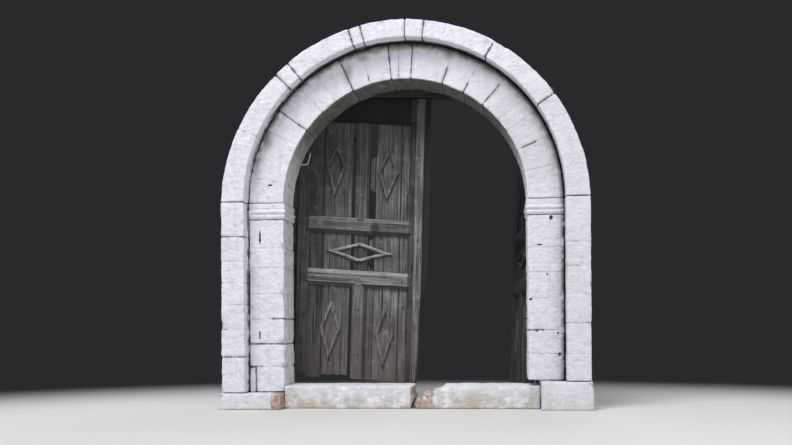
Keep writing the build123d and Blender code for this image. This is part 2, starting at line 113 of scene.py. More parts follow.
class Finish:
    """A material under its own name, built up from the surface's own coordinates."""

    def __init__(self, name):
        self.material = bpy.data.materials.new(name)
        self.material.use_nodes = True
        self.tree = self.material.node_tree
        self.shader = self.tree.nodes["Principled BSDF"]
        self.place = self.node("ShaderNodeTexCoord", out="Object")

    def node(self, kind, settings=None, sockets=None, out=0):
        """A node of a kind, its settings made first and then its sockets filled or linked."""
        made = self.tree.nodes.new(kind)
        for key, value in (settings or {}).items():
            setattr(made, key, value)
        for key, value in (sockets or {}).items():
            self.feed(made.inputs[key], value)
        return Reading(self, made.outputs[out])

    def feed(self, socket, value):
        """Links a reading to a socket, or sets a plain value on it."""
        if isinstance(value, Reading):
            self.tree.links.new(value.socket, socket)
        else:
            socket.default_value = value

    def noise(self, scale, detail, roughness=0.55, place=None):
        """Cloudy noise from 0 to 1, about half of it above 0.5."""
        return self.node("ShaderNodeTexNoise", None,
                         {"Vector": place or self.place, "Scale": scale, "Detail": detail,
                          "Roughness": roughness}, "Fac")

    def stretched(self, sizes, turn=(0, 0, 0), shift=(0, 0, 0)):
        """The coordinates turned, and scaled so that a pattern is as long as sizes say."""
        turned = self.node("ShaderNodeMapping", None,
                           {"Vector": self.place, "Rotation": turn, "Location": shift})
        return self.node("ShaderNodeMapping", None,
                         {"Vector": turned, "Scale": [1 / size for size in sizes]})

    def mix(self, factor, first, second):
        """The first colour, with the second laid over it by a factor."""
        return self.node("ShaderNodeMix", {"data_type": "RGBA"}, {0: factor, 6: first, 7: second}, 2)

    def attribute(self, name):
        """A number that the mesh keeps at each of its points."""
        return self.node("ShaderNodeAttribute", {"attribute_name": name}, out="Fac")

    def axis(self, letter, vector=None):
        """One of the three numbers of a vector, or of the place on the surface."""
        return self.node("ShaderNodeSeparateXYZ", None, {0: vector or self.place}, letter)

    def spot(self, x, z, half_width, half_height, ragged, near, far, core=0.75):
        """A ragged mark at a place seen from in front, on what lies between two depths."""
        rim = 1.15
        raggedness = 1.4
        depth_fade = 0.01
        aside = (self.axis("X") - x) * (1 / half_width)
        above = (self.axis("Z") - z) * (1 / half_height)
        reach = (aside * aside + above * above) ** 0.5 + (ragged - 0.5) * raggedness
        depth = self.axis("Y")
        return (reach.between(rim, core) * depth.between(near - depth_fade, near)
                * depth.between(far + depth_fade, far))

    def surface(self, colour, roughness, height, depth, strength=1.0):
        """Feeds the shader. Height runs from 0 to 1 over a depth in metres."""
        self.feed(self.shader.inputs["Base Color"], colour)
        self.feed(self.shader.inputs["Roughness"], roughness)
        bump = self.node("ShaderNodeBump", None,
                         {"Strength": strength, "Distance": depth, "Height": height})
        self.feed(self.shader.inputs["Normal"], bump)
        return self.material


def colour(red, green, blue):
    """An sRGB colour of 0 to 255 as the shader's linear one."""
    parts = [part / 255 for part in (red, green, blue)]
    return [part / 12.92 if part < 0.04 else ((part + 0.055) / 1.055) ** 2.4 for part in parts] + [1]


floor_middle = (0.3, -2.2, 0)
fade_start = 3.4
fade_end = 6.2
floor_finish = Finish("pale_floor")
floor_finish.feed(floor_finish.shader.inputs["Base Color"], colour(214, 213, 210))
floor_finish.feed(floor_finish.shader.inputs["Roughness"], 0.9)
away = floor_finish.node("ShaderNodeVectorMath", {"operation": "DISTANCE"},
                         {0: floor_finish.place, 1: floor_middle}, "Value")
clear = floor_finish.node("ShaderNodeBsdfTransparent")
pale = Reading(floor_finish, floor_finish.shader.outputs[0])
floor_mix = floor_finish.node("ShaderNodeMixShader", None,
                              {0: away.between(fade_start, fade_end), 1: pale, 2: clear})
floor_finish.feed(floor_finish.tree.nodes["Material Output"].inputs["Surface"], floor_mix)
bpy.ops.mesh.primitive_circle_add(vertices=96, radius=10, fill_type="NGON", location=(0, 0, 0))
floor = bpy.context.object
floor.name = "floor"
floor.data.materials.append(floor_finish.material)


# Sky and lamps.
# The sky lights the doorway softly, and shows a plain dark backdrop to the camera and to gloss. A
# large lamp stands high in front at the left, a lower one at the right, and one behind.

class Sky(Finish):
    """The world around the doorway, built up from nodes as a finish is."""

    def __init__(self, name):
        world = bpy.data.worlds.new(name)
        bpy.context.scene.world = world
        world.use_nodes = True
        self.tree = world.node_tree
        self.shader = self.tree.nodes["Background"]


sky = Sky("studio")
sky.feed(sky.shader.inputs["Color"], (0.9, 0.95, 1.0, 1))
sky.feed(sky.shader.inputs["Strength"], 0.36)
backdrop = sky.node("ShaderNodeBackground", None, {"Color": colour(41, 42, 44)})
shown = 0
for ray in ("Is Camera Ray", "Is Glossy Ray", "Is Transmission Ray"):
    shown = sky.node("ShaderNodeLightPath", out=ray) + shown
sky_mix = sky.node("ShaderNodeMixShader", None,
                   {0: shown, 1: Reading(sky, sky.shader.outputs[0]), 2: backdrop})
sky.feed(sky.tree.nodes["World Output"].inputs["Surface"], sky_mix)

lamp_aim = Vector((0, 0, 1.2))
for name, position, size, power in (
        ("high_front_light", (-3.2, -7.0, 11.5), 6.5, 1350),
        ("low_front_light", (5.0, -7.0, 3.2), 5.0, 210),
        ("rear_light", (2.5, 8.5, 7.0), 5.0, 200)):
    lamp_data = bpy.data.lights.new(name, "AREA")
    lamp_data.shape = "DISK"
    lamp_data.size = size
    lamp_data.energy = power
    lamp = bpy.data.objects.new(name, lamp_data)
    bpy.context.scene.collection.objects.link(lamp)
    turned = (lamp_aim - Vector(position)).to_track_quat("-Z", "Y")
    lamp.matrix_world = Matrix.Translation(position) @ turned.to_matrix().to_4x4()


# Stonework.
# Squared limestone laid nearly dry in two orders, limewashed many times over on its front. Each
# stone is worn round at its arrises, and dirt has gathered in the joints and under the arch, where
# painted shade darkens it as well.

# Height of the springing, distances of the opening's edge and of the inner order's outer edge from
# the middle, and the depths of the two orders' faces
springing = 1.525
opening_edge = 0.895
inner_edge = 1.165
outer_order = -0.13
inner_order = 0

# Dirty patches on the inner ring, and holes and cuts in the coat of the inner order: place seen from
# in front, half width and half height
stain_places = [(-0.04, 2.65, 0.16, 0.03), (-0.41, 2.47, 0.05, 0.1), (-0.3, 2.585, 0.07, 0.035),
                (-0.2, 2.63, 0.06, 0.03), (0.34, 2.59, 0.05, 0.05), (0.62, 2.49, 0.06, 0.04),
                (0.965, 2.145, 0.04, 0.04), (1.1, 1.92, 0.03, 0.07), (-1.02, 2.0, 0.05, 0.1)]
hole_places = [(-1.08, 1.27, 0.007, 0.05), (-1.085, 0.545, 0.005, 0.035), (1.07, 1.385, 0.012, 0.016),
               (1.04, 0.975, 0.008, 0.005), (0.92, 0.795, 0.01, 0.009), (0.965, 0.565, 0.007, 0.005),
               (1.115, 0.55, 0.006, 0.009), (1.125, 0.395, 0.01, 0.013), (0.985, 1.19, 0.02, 0.005),
               (-1.0, 1.66, 0.018, 0.006)]

# Depths between which the inner order's face lies, worn as it is
front_near = -0.02
front_far = 0.03


def lime_finish():
    """Limewash over stone, thin over the arrises, grey where rain runs, and grimy and darkened by
    painted shade under the arch.
    """
    coat = Finish("limewashed_stone")
    across = coat.axis("X")
    off_centre = across.math("ABSOLUTE")
    inwards = coat.axis("Y")
    height = coat.axis("Z")
    cloud = coat.noise(3.2, 5)
    patch = coat.noise(17, 6, 0.62)
    lumps = coat.noise(42, 4, 0.6)
    grit = coat.noise(120, 4, 0.6)
    hewn = coat.noise(1, 5, 0.65, coat.stretched((0.06, 0.06, 0.026)))
    runs = coat.noise(1, 5, 0.6, coat.stretched((0.045, 0.045, 0.5)))
    seam = coat.attribute("seam").math("ABSOLUTE")
    opened = coat.attribute("open")
    bare = coat.attribute("bare")

    # The coat: bright and dull patches, tool marks, runs of rain, lumps, grit, painted shade towards
    # the right and a splashed foot
    wash = coat.mix(patch.between(0.35, 0.7), colour(228, 228, 237), colour(215, 214, 222))
    wash = coat.mix(cloud.between(0.5, 0.8) * 0.45, wash, colour(190, 189, 195))
    wash = coat.mix(hewn.between(0.6, 0.74) * 0.22, wash, colour(160, 158, 160))
    wash = coat.mix(runs.between(0.56, 0.78) * 0.4, wash, colour(166, 164, 161))
    wash = coat.mix(lumps.between(0.58, 0.72) * 0.4, wash, colour(178, 176, 178))
    wash = coat.mix(grit.between(0.6, 0.74) * 0.5, wash, colour(148, 146, 141))
    # Painted shade: the coat is greyer towards the right, where less light falls
    wash = coat.mix(across.between(0.5, 1.3) * (0.2 + cloud * 0.35), wash, colour(188, 188, 192))
    splashed = height.between(0.19, 0.02) * (patch * 0.7 + cloud * 0.5).between(0.46, 0.7)
    splashed = splashed * (off_centre.between(0.96, 0.92) * 0.6 + 0.25)
    wash = coat.mix(splashed, wash, colour(178, 166, 146))

    # Dirt and painted shade on the inner ring close under the outer one, and a greyer patch at its right
    rise = (height - springing).math("MAXIMUM", 0)
    reach = (across * across + rise * rise) ** 0.5
    face = inwards.between(-0.05, -0.02)
    inside = reach.between(inner_edge + 0.025, inner_edge + 0.009)
    under_outer_grime_and_shade = reach.between(inner_edge - 0.08, inner_edge + 0.005) * face * inside
    under_outer_grime_and_shade = under_outer_grime_and_shade * (rise * 1.6).between(0.05, 0.6)
    wash = coat.mix(under_outer_grime_and_shade * (0.05 + (patch + lumps * 0.5).between(0.56, 0.9)), wash,
                    colour(132, 127, 120))
    right_ring = face * inside * rise.between(0, 0.3) * across.between(0.1, 0.9)
    wash = coat.mix(right_ring * (0.15 + cloud * 0.3), wash, colour(172, 171, 172))

    # The reveal: pale on the jambs with painted light, darker under the arch with dirt and painted
    # shade, and darker next to the timber frame
    reveal = reach.between(opening_edge + 0.017, opening_edge + 0.005) * inwards.between(0.004, 0.014)
    grime_and_shade = coat.mix(patch.between(0.3, 0.7), colour(122, 118, 110), colour(88, 83, 75))
    clean_and_lit = coat.mix(patch.between(0.35, 0.65), colour(236, 237, 240), colour(212, 212, 213))
    lining = coat.mix(rise.between(0.1, 0.62), clean_and_lit, grime_and_shade)
    worn = coat.mix(reveal, wash, lining)
    worn = coat.mix(inwards.between(0.33, 0.366) * 0.8, worn, grime_and_shade)

    # Reddish stone where the coat is gone
    stone = coat.mix(lumps.between(0.35, 0.65), colour(178, 150, 138), colour(146, 120, 110))
    stone = coat.mix(patch.between(0.5, 0.62) * 0.6, stone, colour(196, 184, 174))
    gone = (bare + (patch - 0.5) * 1.1 + (lumps - 0.5) * 0.5).between(0.3, 0.62) * bare.between(0, 0.1)
    worn = coat.mix(gone, worn, stone)

    # Joints: a fine grey line that is dark where it has parted, with dirt beside the open ones
    width = 0.0012 + opened * 0.0022 + (lumps - 0.5) * 0.008 + (patch - 0.5) * 0.01
    line = ((width - seam) * 520 + 0.5).math("MAXIMUM", 0).math("MINIMUM", 1)
    parted = (opened * 0.6 + reveal * 0.2 + (cloud - 0.5) * 1.6 + (patch - 0.5) * 1.6).between(0.14, 0.5)
    worn = coat.mix(line * 0.34, worn, colour(122, 119, 114))
    worn = coat.mix(line * parted * 0.9, worn, colour(46, 42, 38))
    beside = seam.between(0.026, 0.004) * opened * patch.between(0.4, 0.6)
    worn = coat.mix(beside * 0.35, worn, colour(150, 146, 140))

    # Dirt and painted shadow in the corner where the outer order stands forward, widest at the crown
    crown = reach.between(inner_edge - 0.057, inner_edge - 0.015) * rise.between(0.86, 1.08)
    crown = crown * inside * face
    worn = coat.mix(crown * (patch * 0.6 + lumps * 0.4).between(0.3, 0.56) * 0.75, worn,
                    colour(72, 67, 61))
    crook = reach.between(inner_edge - 0.043, inner_edge - 0.003) * face
    crook = crook * reach.between(inner_edge + 0.007, inner_edge + 0.003)
    worn = coat.mix(crook * (rise * 0.4 + patch + across * 0.12).between(0.42, 0.66) * 0.95, worn,
                    colour(54, 49, 44))
    corner = off_centre.between(inner_edge - 0.015, inner_edge - 0.003) * face
    corner = corner * off_centre.between(inner_edge + 0.035, inner_edge + 0.015)
    corner = corner * inwards.between(0.03, 0.02)
    below = height.between(1.6, 1.5) * (patch - across * 0.07 + cloud * 0.3).between(0.62, 0.76)
    kept = (across.between(0.2, -0.2) + height.between(0.46, 0.4)).math("MINIMUM", 1)
    worn = coat.mix(corner * below * kept * 0.85, worn, colour(84, 76, 68))

    # Stains and holes, each at its own place
    stains = 0
    blurred = lumps * 0.8 + patch * 0.9 - 0.35
    for x, z, half_width, half_height in stain_places:
        stains = coat.spot(x, z, half_width, half_height, blurred, front_near, front_far,
                           core=0.1) + stains
    worn = coat.mix(stains.math("MINIMUM", 1) * 0.55, worn, colour(104, 98, 90))
    holes = 0
    for x, z, half_width, half_height in hole_places:
        holes = coat.spot(x, z, half_width, half_height, lumps, front_near, front_far) + holes
    worn = coat.mix(holes.math("MINIMUM", 1), worn, colour(44, 40, 36))

    relief = (cloud * 0.15 + patch * 0.34 + hewn * 0.24 + lumps * 0.3 + grit * 0.1 - holes * 0.3
              - line * (parted * 0.3 + 0.07))
    return coat.surface(worn, 0.86 + patch * 0.1, relief, depth=0.03, strength=0.95)


limewashed_stone = lime_finish()
stone_nodes = ["arch_voussoirs", "archivolt_stones", "left_jamb_blocks", "right_jamb_blocks",
               "left_impost", "right_impost", "left_quoins", "right_quoins", "left_base_stone",
               "right_base_stone", "left_sill", "right_sill"]

# Size of the skin's facets on plain stones and on the moulded imposts, and the dents in both
coarse = 0.0085
fine = 0.0055
swell = bpy.data.textures.new("stone_swell", "CLOUDS")
swell.noise_scale = 0.11
pits = bpy.data.textures.new("stone_pits", "CLOUDS")
pits.noise_scale = 0.035
pits.noise_depth = 3

# Places where an arris has lost a chip, and how large each chip is
chips = [((-0.895, 0.0, 1.2), 0.034), ((-0.89, 0.02, 0.84), 0.055), ((-0.895, 0.0, 0.48), 0.042),
         ((-0.895, 0.0, 0.31), 0.036), ((-0.89, 0.06, 0.56), 0.04), ((-1.345, -0.13, 2.02), 0.045),
         ((-1.17, -0.13, 1.36), 0.03), ((0.895, 0.0, 1.02), 0.022), ((0.9, 0.0, 0.62), 0.025),
         ((1.36, -0.13, 0.9), 0.03), ((-1.36, -0.13, 0.62), 0.035), ((-0.15, -0.13, 2.79), 0.03),
         ((0.62, -0.13, 2.62), 0.03), ((-1.36, -0.16, 0.12), 0.05), ((1.36, -0.16, 0.2), 0.05),
         ((0.3, -0.03, 0.17), 0.04), ((-0.45, -0.03, 0.17), 0.03), ((0.7, -0.03, 0.17), 0.03),
         ((-1.165, -0.13, 0.72), 0.024)]

# Stretches where the joint between two stones stands open, each with the depth of its face: first an
# upright one low in the left jamb, then those of the rings by their angle from the right springing and
# two radii, and last the level ones by their height and two ends
open_joints = [(-1.11, 0.31, -1.11, 0.15, inner_order)]
for angle, near, far, face in (
        (33.9, 1.17, 1.31, outer_order), (59.3, 1.15, 1.24, outer_order),
        (82.7, 1.16, 1.26, outer_order), (88.9, 1.14, 1.28, outer_order),
        (103.3, 1.12, 1.27, outer_order), (107, 1.13, 1.26, outer_order),
        (130, 1.12, 1.28, outer_order), (135.4, 1.14, 1.29, outer_order),
        (157.8, 1.34, 1.42, outer_order), (23.5, 0.97, 1.02, inner_order),
        (50.2, 0.92, 1.07, inner_order), (61, 0.92, 0.94, inner_order),
        (71.7, 0.93, 0.99, inner_order), (86.2, 0.89, 1.12, inner_order),
        (95.6, 0.88, 1.13, inner_order), (114, 0.92, 1.13, inner_order),
        (143.7, 0.85, 1.17, inner_order)):
    aside = math.cos(math.radians(angle))
    above = math.sin(math.radians(angle))
    open_joints.append((aside * near, springing + above * near,
                        aside * far, springing + above * far, face))
for height, near, far, face in (
        (0.13, -1.35, -0.94, outer_order), (0.38, -1.35, -1.17, outer_order),
        (1.24, -1.34, -1.17, outer_order), (0.48, -1.17, -0.9, inner_order),
        (0.31, -1.17, -1.09, inner_order), (0.31, -0.93, -0.89, inner_order),
        (0.66, -0.96, -0.9, inner_order), (0.57, 0.93, 0.98, inner_order),
        (0.2, 0.92, 1.0, inner_order)):
    open_joints.append((near, height, far, height, face))

# Broken ends with bare stone: where it starts, over what length it comes in (leftwards if below 0),
# how bare it gets, and the depth and the height that it stays below
broken_ends = {"left_base_stone": (-0.985, 0.03, 0.6, 0.3, 0.3),
               "left_sill": (0.03, 0.02, 0.7, 0.5, 0.16),
               "right_sill": (0.3, -0.2, 0.55, 0.5, 0.3)}
random = numpy.random.default_rng(7)


def triangles_of(piece):
    """Corners and triangles of a mesh, ready for a tree of its surface."""
    piece.data.calc_loop_triangles()
    return ([v.co.copy() for v in piece.data.vertices],
            [tuple(t.vertices) for t in piece.data.loop_triangles])


def loose_stones(node):
    """Copies the stones of a CAD node, one object each."""
    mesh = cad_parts[node].data.copy()
    mesh.materials.clear()
    piece = bpy.data.objects.new(node + "_worn", mesh)
    bpy.context.scene.collection.objects.link(piece)
    bpy.ops.object.select_all(action="DESELECT")
    piece.select_set(True)
    bpy.context.view_layer.objects.active = piece
    bpy.ops.object.mode_set(mode="EDIT")
    bpy.ops.mesh.select_all(action="SELECT")
    bpy.ops.mesh.remove_doubles(threshold=0.00002)
    bpy.ops.mesh.separate(type="LOOSE")
    bpy.ops.object.mode_set(mode="OBJECT")
    return list(bpy.context.selected_objects)


def angle_round(stone):
    """Where a stone lies round the doorway, seen from a point low on its centre line."""
    viewpoint_height = 0.4
    count = len(stone.data.vertices)
    aside = sum(v.co.x for v in stone.data.vertices) / count
    above = sum(v.co.z for v in stone.data.vertices) / count - viewpoint_height
    return math.atan2(aside, above)


def signs_of(trees, corners):
    """Gives each stone plus or minus one, unlike the stones that it touches where that can be."""
    touching = 0.003
    signs = []
    for i, own in enumerate(corners):
        beside = [signs[j] for j in range(i)
                  if any(trees[j].find_nearest(v, touching)[0] is not None for v in own)]
        signs.append(-1 if sum(beside) > 0 else 1)
    return signs


def apply_modifiers(piece):
    """Makes what the modifiers of the active piece do a part of its mesh."""
    for modifier in list(piece.modifiers):
        bpy.ops.object.modifier_apply(modifier=modifier.name)


def one_skin(stones, name, grain):
    """Joins stones and wraps them in one even skin, eased once."""
    bpy.ops.object.select_all(action="DESELECT")
    for stone in stones:
        stone.select_set(True)
    bpy.context.view_layer.objects.active = stones[0]
    if len(stones) > 1:
        bpy.ops.object.join()
    skin = bpy.context.view_layer.objects.active
    skin.name = name
    remesh = skin.modifiers.new("remesh", "REMESH")
    remesh.mode = "VOXEL"
    remesh.voxel_size = grain
    ease = skin.modifiers.new("ease", "SMOOTH")
    ease.iterations = 1
    apply_modifiers(skin)
    return skin


def at_points(skin, what):
    """The places or the normals of a skin's points, a row for each."""
    values = numpy.empty(len(skin.data.vertices) * 3, dtype=numpy.float32)
    skin.data.vertices.foreach_get(what, values)
    return values.reshape(-1, 3)


def move_points(skin, places):
    """Puts a skin's points where the rows say."""
    skin.data.vertices.foreach_set("co", places.astype(numpy.float32).ravel())


def beside_joints(places, shapes, trees):
    """How far each point lies from the nearest joint, up to a limit, and the stone it is on."""
    limit = 0.03
    nearest = numpy.full(len(places), 1.0)
    second = numpy.full(len(places), 1.0)
    owner = numpy.zeros(len(places), dtype=int)
    for number, (corners, _) in enumerate(shapes):
        own = numpy.array(corners)
        low = own.min(axis=0) - limit
        high = own.max(axis=0) + limit
        for i in numpy.nonzero(((places > low) & (places < high)).all(axis=1))[0]:
            gap = trees[number].find_nearest(places[i], limit)[3]
            if gap is None:
                continue
            if gap < nearest[i]:
                nearest[i], second[i], owner[i] = gap, nearest[i], number
            elif gap < second[i]:
                second[i] = gap
    return numpy.clip(second - nearest, 0, limit), owner


def near_open_joints(places):
    """1 at the joints that stand open, and 0 from a few centimetres away."""
    reach = 0.045
    fade = 0.02
    inner_from = -0.05
    outer_to = -0.02
    opened = numpy.zeros(len(places))
    for x1, z1, x2, z2, face in open_joints:
        along = numpy.array((x2 - x1, z2 - z1))
        off = places[:, [0, 2]] - (x1, z1)
        share = numpy.clip(off @ along / (along @ along), 0, 1)
        away = numpy.linalg.norm(off - share[:, None] * along, axis=1)
        on_face = places[:, 1] > inner_from if face == inner_order else places[:, 1] < outer_to
        opened = numpy.maximum(opened, numpy.clip((reach - away) / fade, 0, 1) * on_face)
    return opened


def broken_end(node, places):
    """How bare each point is at the broken end of a sill or base stone."""
    start, length, barest, depth, height = broken_ends[node]
    within = (places[:, 1] < depth) & (places[:, 2] < height)
    return numpy.clip((places[:, 0] - start) / length, 0, barest) * within


def limewashed(node, grain, depth):
    """Skins the stones of a node with one coat, and wears and chips them through it."""
    groove_width = 0.011
    shut_groove = 0.001
    open_groove = 0.008
    unevenness = 0.0035
    chip_hollow = 0.7
    chip_depth = 0.55
    chip_bareness = 0.25
    stones = loose_stones(node)
    stones.sort(key=angle_round)
    shapes = [triangles_of(stone) for stone in stones]
    trees = [BVHTree.FromPolygons(*shape) for shape in shapes]
    signs = signs_of(trees, [shape[0] for shape in shapes])
    skin = one_skin(stones, node + "_worn", grain)

    places = at_points(skin, "co")
    normals = at_points(skin, "normal")
    aside, owner = beside_joints(places, shapes, trees)
    seam = aside * numpy.array(signs)[owner]
    opened = near_open_joints(places)
    groove = numpy.clip(1 - aside / groove_width, 0, 1) * (shut_groove + open_groove * opened)
    uneven = random.uniform(0, unevenness * depth, len(shapes))[owner] if len(shapes) > 1 else 0
    bare = numpy.zeros(len(places))
    for centre, radius in chips:
        size = numpy.linalg.norm(places - numpy.array(centre), axis=1)
        bite = numpy.clip(1 - size / radius, 0, 1) ** chip_hollow
        groove = groove + bite * radius * chip_depth
        bare = numpy.maximum(bare, chip_bareness * bite)
    if node in broken_ends:
        bare = broken_end(node, places)
    move_points(skin, places - normals * (groove + uneven)[:, None])
    for name, values in (("seam", seam), ("open", opened), ("bare", bare)):
        layer = skin.data.attributes.new(name, "FLOAT", "POINT")
        layer.data.foreach_set("value", values.astype(numpy.float32))

    for texture, strength in ((swell, 0.009), (pits, 0.006)):
        dent = skin.modifiers.new("dent", "DISPLACE")
        dent.texture = texture
        dent.texture_coords = "GLOBAL"
        dent.strength = strength * depth
        dent.mid_level = 0.62
    apply_modifiers(skin)
    move_points(skin, numpy.clip(at_points(skin, "co"), *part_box(node)))
    skin.data.update()
    bpy.ops.object.shade_smooth()
    skin.data.materials.append(limewashed_stone)
    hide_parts(node)
    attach(skin, "portal")


for node in stone_nodes:
    if node.endswith("impost"):
        limewashed(node, fine, depth=0.35)
    else:
        limewashed(node, coarse, depth=1)


# Timber.
# Sawn softwood that has stood in the weather for decades: silver grey with raised grain, browner
# towards the foot, with drying cracks along the fibres. Each board has its own tone.

# How far the frame has heeled over, how much more the left leaf's rails fall, how far the right leaf
# stands open, the sill's height, and how far from the middle the runs along a leaf start
lean = math.radians(1.8)
left_fall = math.radians(2.3)
open_turn = math.radians(82)
sill_height = 0.17
leaf_start = 0.909

# Dark seams at a board's two edges, as runs from the hinge side of the leaf
seams = {"left_plank_1": (-0.054, 0.199), "left_plank_2": (0.201, 0.421),
         "left_plank_5": (0.602, 0.8), "left_plank_6": (0.802, 0.94),
         "left_meeting_stile": (0.871, 1.03)}

# Knots, holes and stains: place seen from in front, half width and half height
marks = {"left_plank_6": [(-0.051, 0.746, 0.011, 0.013), (-0.036, 0.559, 0.01, 0.009)],
         "left_plank_5": [(-0.09, 1.477, 0.012, 0.018), (-0.2, 0.7, 0.02, 0.02)],
         "left_plank_1": [(-0.7, 1.0, 0.01, 0.014)], "left_plank_2": [(-0.55, 0.36, 0.012, 0.012)],
         "left_meeting_stile": [(-0.03, 1.837, 0.012, 0.02), (-0.025, 1.03, 0.016, 0.035)],
         "left_upper_lock_rail": [(-0.262, 1.362, 0.04, 0.055), (-0.5, 1.36, 0.007, 0.006)],
         "left_hinge_stile": [(-0.83, 0.7, 0.012, 0.03), (-0.8, 1.5, 0.01, 0.016)]}

# How light a board is, and what the others have, which differ a little among themselves
tones = {"head_beam": 0.75, "left_astragal": 1.15, "left_meeting_stile": 0.72,
         # The top rail's dark tone is painted shade from the arch above it
         "left_top_rail": 0.3, "left_hinge_stile": 0.78, "left_plank_1": 0.84,
         "left_plank_2": 1.0, "left_plank_3": 0.85, "left_plank_4": 0.95, "left_plank_5": 1.1,
         "left_plank_6": 1.08, "left_upper_lock_rail": 1.06, "left_lower_lock_rail": 1.24,
         "left_upper_muntin": 0.95, "left_lower_muntin": 1.04, "left_upper_lozenges": 1.12,
         "left_middle_lozenge": 1.38, "left_lower_lozenges": 1.16}
left_tone = 0.82
# The right leaf's darker tone is partly painted shade, as it stands turned away from the light
other_tone = 0.7
tone_swing = 0.09
tone_step = 2.4

# How far the grain is shifted from one board to the next, so that no two are alike
grain_step = (1.37, 0.71, 0.53)


def timber_finish(name, turn, along, tone, shift, own_seams, own_marks):
    """Weathered wood whose fibres run along X or Z of coordinates turned to the board."""
    timber = Finish(name)

    def drawn_out(length, depth, width):
        """Coordinates that draw a pattern out along the fibres."""
        sizes = (length, depth, width) if along == "X" else (width, depth, length)
        return timber.stretched(sizes, turn, shift)

    def tint(red, green, blue):
        """A colour of this board's tone, a little cooler than it is written."""
        return colour(red * tone * 0.87, green * tone * 0.87, blue * tone * 0.9)

    height = timber.axis("Z")
    bands = timber.noise(1, 3, 0.55, drawn_out(0.7, 0.03, 0.03))
    streaks = timber.noise(1, 3, 0.6, drawn_out(0.3, 0.0065, 0.0065))
    fibres = timber.noise(1, 3, 0.6, drawn_out(0.12, 0.0024, 0.0024))
    cracks = timber.noise(1, 2, 0.5, drawn_out(0.9, 0.03, 0.0085))
    cloud = timber.noise(3.1, 5, 0.6)
    blotch = timber.noise(14, 5, 0.65)
    upwards = timber.axis("Z", timber.node("ShaderNodeNewGeometry", out="Normal"))

    # Grain and weathering, and painted shade towards the head
    wood = timber.mix(bands.between(0.32, 0.66), tint(84, 81, 81), tint(126, 123, 123))
    wood = timber.mix(streaks.between(0.52, 0.66) * 0.58, wood, tint(168, 165, 164))
    wood = timber.mix(streaks.between(0.47, 0.35) * 0.62, wood, tint(46, 43, 43))
    wood = timber.mix(fibres.between(0.46, 0.62) * 0.55, wood, tint(56, 53, 53))
    wood = timber.mix(cloud.between(0.44, 0.68) * 0.55, wood, tint(62, 59, 60))
    wood = timber.mix(blotch.between(0.54, 0.72) * 0.52, wood, tint(156, 152, 150))
    wood = timber.mix(blotch.between(0.45, 0.3) * 0.5, wood, tint(54, 51, 51))
    foot = (height + cloud * 0.4).between(1.1, 0.35)
    wood = timber.mix(foot * 0.6, wood, tint(104, 91, 82))
    # Painted shade: darker towards the head, where the arch shades the leaf
    head = (height + cloud * 0.3).between(1.75, 2.35)
    wood = timber.mix(head * 0.5, wood, tint(48, 46, 46))

    # Edges that face up are lighter, partly bleached and partly painted light, and splashed with
    # limewash; those that face down are dark with painted shade
    wood = timber.mix(upwards.between(0.12, 0.5) * (0.2 + blotch * 0.5), wood, tint(158, 154, 149))
    wood = timber.mix(upwards.between(-0.12, -0.45) * 0.85, wood, tint(36, 33, 32))
    splash = timber.noise(240, 2, 0.5).between(0.64, 0.7) * upwards.between(0.05, 0.4)
    splash = splash * blotch.between(0.45, 0.6)
    wood = timber.mix(splash * 0.8, wood, colour(196, 194, 190))

    # Drying cracks, and seams at the board's edges
    crack = cracks.between(0.63, 0.665)
    wood = timber.mix(crack * 0.85, wood, colour(24, 21, 20))
    run = timber.axis("X") * math.cos(lean) - (height - sill_height) * math.sin(lean) + leaf_start
    for near, far in own_seams:
        edge = (run.between(near + 0.006, near + 0.001) * run.between(near - 0.01, near - 0.005)
                + run.between(far - 0.006, far - 0.001))
        wood = timber.mix(edge * 0.8, wood, colour(26, 23, 22))

    # The right leaf is darker towards its head with painted shade, and the left one's edge past the
    # cover bead is black
    if name.startswith("right_"):
        wood = timber.mix((height + cloud * 0.3).between(0.9, 1.6) * 0.45, wood, colour(26, 24, 23))
    if name.startswith("left_meeting_stile"):
        wood = timber.mix(run.between(0.966, 0.978) * 0.88, wood, colour(30, 27, 26))

    # Knots, holes and stains at their own places
    for x, z, half_width, half_height in own_marks:
        knot = timber.spot(x, z, half_width, half_height, blotch, near=0.3, far=0.5, core=0.5)
        wood = timber.mix(knot * (streaks * 1.8 - 0.25), wood, colour(34, 29, 27))
    relief = bands * 0.25 + streaks * 0.35 + fibres * 0.3 + blotch * 0.1 - crack * 0.6
    return timber.surface(wood, 0.84 + fibres * 0.12, relief, depth=0.0055, strength=0.95)


iron_pieces = ("pintles", "straps", "hook", "peg", "lock_staple")
level_pieces = ("top_rail", "upper_lock_rail", "lower_lock_rail", "ledges", "middle_lozenge")
number = 0
for node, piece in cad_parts.items():
    side, tail = node.split("_", 1)
    if node in stone_nodes or tail in iron_pieces:
        continue
    number += 1
    if node == "head_beam":
        turn, along = (0, lean, 0), "X"
    elif tail in level_pieces and side == "left":
        turn, along = (0, -(lean + left_fall), 0), "X"
    elif tail in level_pieces:
        turn, along = (0, 0, open_turn), "X"
    else:
        turn, along = (0, -lean, 0), "Z"
    usual = (left_tone if side == "left" else other_tone) + tone_swing * math.sin(number * tone_step)
    wood = timber_finish(node + "_wood", turn, along, tones.get(node, usual),
                         [number * step for step in grain_step],
                         [seams[node]] if node in seams else [], marks.get(node, []))
    piece.data.materials.clear()
    piece.data.materials.append(wood)


# Ironwork.
# Forged hinges, a bent hook, a pin and a staple, all rusted brown with darker pits. The brush that
# limewashed the arch went over the hook as well.

